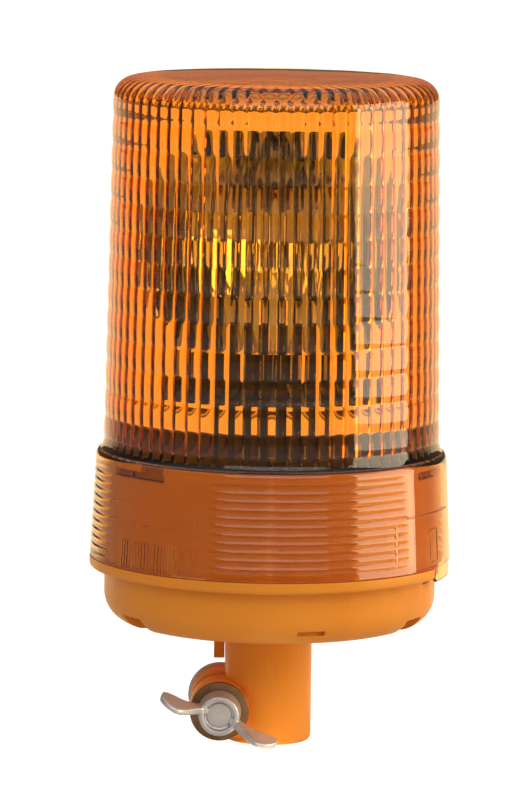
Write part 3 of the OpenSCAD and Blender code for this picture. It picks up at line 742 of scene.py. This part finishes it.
def wing(side):
    """One tongue-shaped wing, in the nut's own frame: u outwards, v along the axis."""
    shape = Shape()
    root, tip = 4.5 * MM, 25.3 * MM
    pad_u, pad_v, pad_r = 18 * MM, NUT_REACH - 7.6 * MM, 7.4 * MM
    stations = list(np.linspace(root, pad_u, 14)) + [
        pad_u + (tip - pad_u) * math.sin(a) for a in np.radians(np.linspace(8, 88, 12))]
    rings = []
    for u in stations:
        share = (u - root) / (pad_u - root)
        centre = 5.6 * MM + (pad_v - 5.6 * MM) * smoothstep(share)
        if u < pad_u:
            half = 4.3 * MM + (pad_r - 4.3 * MM) * smoothstep(share)
        else:
            half = pad_r * math.sqrt(max(0.0004, 1 - ((u - pad_u) / (tip - pad_u)) ** 2))
        thick = 1.9 * MM * (1 - 0.15 * smoothstep(share))
        bow = -1.3 * MM * math.sin(math.pi * min(1, max(0, (u - root) / (tip - root))))
        lean = 0.15 * smoothstep(share)
        ring = []
        for k in range(20):
            t = 2 * math.pi * k / 20
            c, s = math.cos(t), math.sin(t)
            v = centre + half * math.copysign(abs(c) ** 0.8, c)
            w = (bow + min(thick, half) * math.copysign(abs(s) ** 0.5, s)
                 - lean * (v - centre))
            ring.append((side * u, w, v))
        rings.append(shape.ring(ring))
    shape.loft(rings)
    shape.faces += [tuple(rings[0]), tuple(reversed(rings[-1]))]
    return new_object("wing", shape.mesh("wing"))


def wing_nut():
    """The hub and both wings as one casting, with its bore and the recess round the bolt's end."""
    bore, mouth = 4.95 * MM, 6.1 * MM
    profile = [(bore, 0), (8.6 * MM, 0), (8.9 * MM, 0.4 * MM), (8.6 * MM, 4 * MM),
               (8.2 * MM, HUB_H - 1.2 * MM), (8.0 * MM, HUB_H - 0.3 * MM), (7.4 * MM, HUB_H),
               (mouth + 0.3 * MM, HUB_H), (mouth, HUB_H - 0.3 * MM), (mouth, HUB_H - 3.0 * MM),
               (bore, HUB_H - 3.2 * MM)]
    hub = revolve("hub", profile, count=64, closed=True)
    blank = join("nut_blank", [hub, wing(1), wing(-1)])
    cast(blank, 0.3 * MM, 4)
    cut_away(blank, [revolve("drill", [(0, -5 * MM), (bore, -5 * MM), (bore, 40 * MM),
                                       (0, 40 * MM)], count=64)])
    # the nut's axis points to the front, and its wings lie down to the right
    place = (Matrix.Translation(NUT_AXIS) @ Matrix.Rotation(math.pi / 2, 4, "X")
             @ Matrix.Rotation(-WING_TILT, 4, "Z"))
    blank.data.transform(place)
    blank.name = "wing_nut_skin"
    return blank


piece(wing_nut(), "nut", "zinc_steel", "wing_nut")


# ---------------------------------------------------------------- softened CAD edges

def soften(node_names, width):
    """Small rounds on the sharp edges of carried-over CAD nodes."""
    for name in node_names:
        obj = frame["nodes"][name]
        weld = obj.modifiers.new("weld", "WELD")
        weld.merge_threshold = 0.002 * MM
        bevel = obj.modifiers.new("round", "BEVEL")
        bevel.width = width
        bevel.segments = 2
        bevel.limit_method = "ANGLE"
        bevel.angle_limit = math.radians(40)
        bevel.harden_normals = True


soften(["base_housing", "pole_socket", "chassis", "turntable", "reflector_bracket"], 0.5 * MM)
soften(["clamp_washer", "bulb_holder", "bulb_base"], 0.3 * MM)
soften(["clamp_bolt"], 0.7 * MM)


# ---------------------------------------------------------------- stage, light and camera

FLOOR_GAP = 0.3 * MM


def area(name, place, aim, size, power, colour=(1, 1, 1), mirrored=True):
    data = bpy.data.lights.new(name, "AREA")
    data.shape = "RECTANGLE"
    data.size, data.size_y = size
    data.energy = power
    data.color = colour
    light = link(bpy.data.objects.new(name, data))
    light.location = place
    light.rotation_euler = (Vector(aim) - Vector(place)).to_track_quat("-Z", "Y").to_euler()
    light.visible_camera = False
    light.visible_glossy = mirrored
    return light


def sky_glow(tree):
    """Dim near the horizon and bright overhead."""
    place = add_node(tree, "ShaderNodeTexCoord")
    split = add_node(tree, "ShaderNodeSeparateXYZ", place.outputs["Generated"])
    rise = add_node(tree, "ShaderNodeMapRange", interpolation_type="SMOOTHSTEP",
                    Value=split.outputs["Z"], From_Min=0.35, From_Max=0.7)
    glow = add_node(tree, "ShaderNodeMix", data_type="RGBA", Factor=rise.outputs["Result"],
                    A=(0.16, 0.125, 0.085, 1), B=(0.6, 0.6, 0.6, 1))
    return glow.outputs["Result"]


def floor_glow(tree):
    """Bright behind and close under the beacon, where the backdrop is lit, and dim elsewhere."""
    place = add_node(tree, "ShaderNodeTexCoord").outputs["Object"]
    split = add_node(tree, "ShaderNodeSeparateXYZ", place)
    behind = add_node(tree, "ShaderNodeMath", split.outputs["Y"], 0.01, operation="MAXIMUM")
    slant = add_node(tree, "ShaderNodeMath", split.outputs["X"], behind.outputs["Value"],
                     operation="DIVIDE")
    aside = add_node(tree, "ShaderNodeMath", slant.outputs["Value"], operation="ABSOLUTE")
    fall = add_node(tree, "ShaderNodeMapRange", interpolation_type="SMOOTHSTEP",
                    Value=aside.outputs["Value"], From_Min=0.5, From_Max=1.6)
    backdrop = add_node(tree, "ShaderNodeMix", data_type="RGBA", Factor=fall.outputs["Result"],
                        A=(1.27, 0.9, 0.48, 1), B=(0.16, 0.125, 0.085, 1))
    away = add_node(tree, "ShaderNodeVectorMath", place, operation="LENGTH")
    near = add_node(tree, "ShaderNodeMapRange", interpolation_type="SMOOTHSTEP",
                    Value=away.outputs["Value"], From_Min=0.35, From_Max=0.9, To_Min=0.15,
                    To_Max=0.0)
    both = add_node(tree, "ShaderNodeMix", data_type="RGBA", blend_type="ADD", Factor=1.0,
                    A=backdrop.outputs["Result"], B=near.outputs["Result"])
    return both.outputs["Result"]


def seen_by_camera(tree, other, own):
    """own for what the camera sees directly, and other in reflections and through the lens."""
    path = add_node(tree, "ShaderNodeLightPath")
    pick = add_node(tree, "ShaderNodeMix", data_type="RGBA", Factor=path.outputs["Is Camera Ray"],
                    A=other, B=own)
    return pick.outputs["Result"]


def studio_floor():
    """A plain pale floor, just under the socket."""
    mat = bpy.data.materials.new("floor")
    mat.use_nodes = True
    tree = mat.node_tree
    floor_looks = {
        "Base Color": ramp(tree, grain(tree, 6.0), (0.28, 0.28, 0.28), (0.3, 0.3, 0.3)),
        "Roughness": 0.9,
        "Specular IOR Level": 0.1,
        "Emission Strength": 1.0,
        "Emission Color": seen_by_camera(tree, floor_glow(tree), (0.95, 0.95, 0.95, 1)),
    }
    for key, value in floor_looks.items():
        feed(tree, tree.nodes["Principled BSDF"].inputs[key], value)
    floor = revolve("floor", [(0, -FLOOR_GAP), (6, -FLOOR_GAP), (40, -FLOOR_GAP)], count=48)
    paint(floor, mat)


def studio():
    """Floor, surroundings and four soft lights."""
    studio_floor()
    world = bpy.data.worlds.new("studio")
    bpy.context.scene.world = world
    world.use_nodes = True
    tree = world.node_tree
    sky = tree.nodes["Background"]
    feed(tree, sky.inputs["Strength"], 1.0)
    feed(tree, sky.inputs["Color"], seen_by_camera(tree, sky_glow(tree), (1, 1, 1, 1)))

    middle = (0, 0, 0.16)
    area("softbox_right", (0.75, -0.16, 0.22), (0, -0.12, 0.16), (0.68, 0.75), 7.4,
         colour=(1.0, 0.9, 0.66))
    gold = area("gold_card", (0, 1.2, 0.43), middle, (1.1, 0.26), 0.42, colour=(1.0, 0.2, 0.04))
    gold.visible_transmission = False
    area("fill_left", (-0.9, -0.7, 0.5), middle, (0.5, 0.7), 3, mirrored=False)
    area("key_front", (0.1, -1.6, 1.15), middle, (2.3, 0.8), 9)


def photo_camera():
    """A long lens in front of the beacon, a little above it and looking down."""
    data = bpy.data.cameras.new("camera")
    data.sensor_width = 36
    data.lens = 245.8
    camera = link(bpy.data.objects.new("camera", data))
    camera.location = (0, -2.2, 0.433)
    pitch, roll, yaw = math.radians(-7.6), math.radians(0.85), math.radians(0.075)
    turn = (Matrix.Rotation(yaw, 4, "Z") @ Matrix.Rotation(math.pi / 2 + pitch, 4, "X")
            @ Matrix.Rotation(roll, 4, "Z"))
    camera.matrix_world = Matrix.Translation(camera.location) @ turn
    bpy.context.scene.camera = camera


studio()
photo_camera()
scene = bpy.context.scene
scene.view_settings.view_transform = "Standard"
scene.cycles.max_bounces = 20
scene.cycles.transmission_bounces = 16
scene.cycles.use_denoising = True
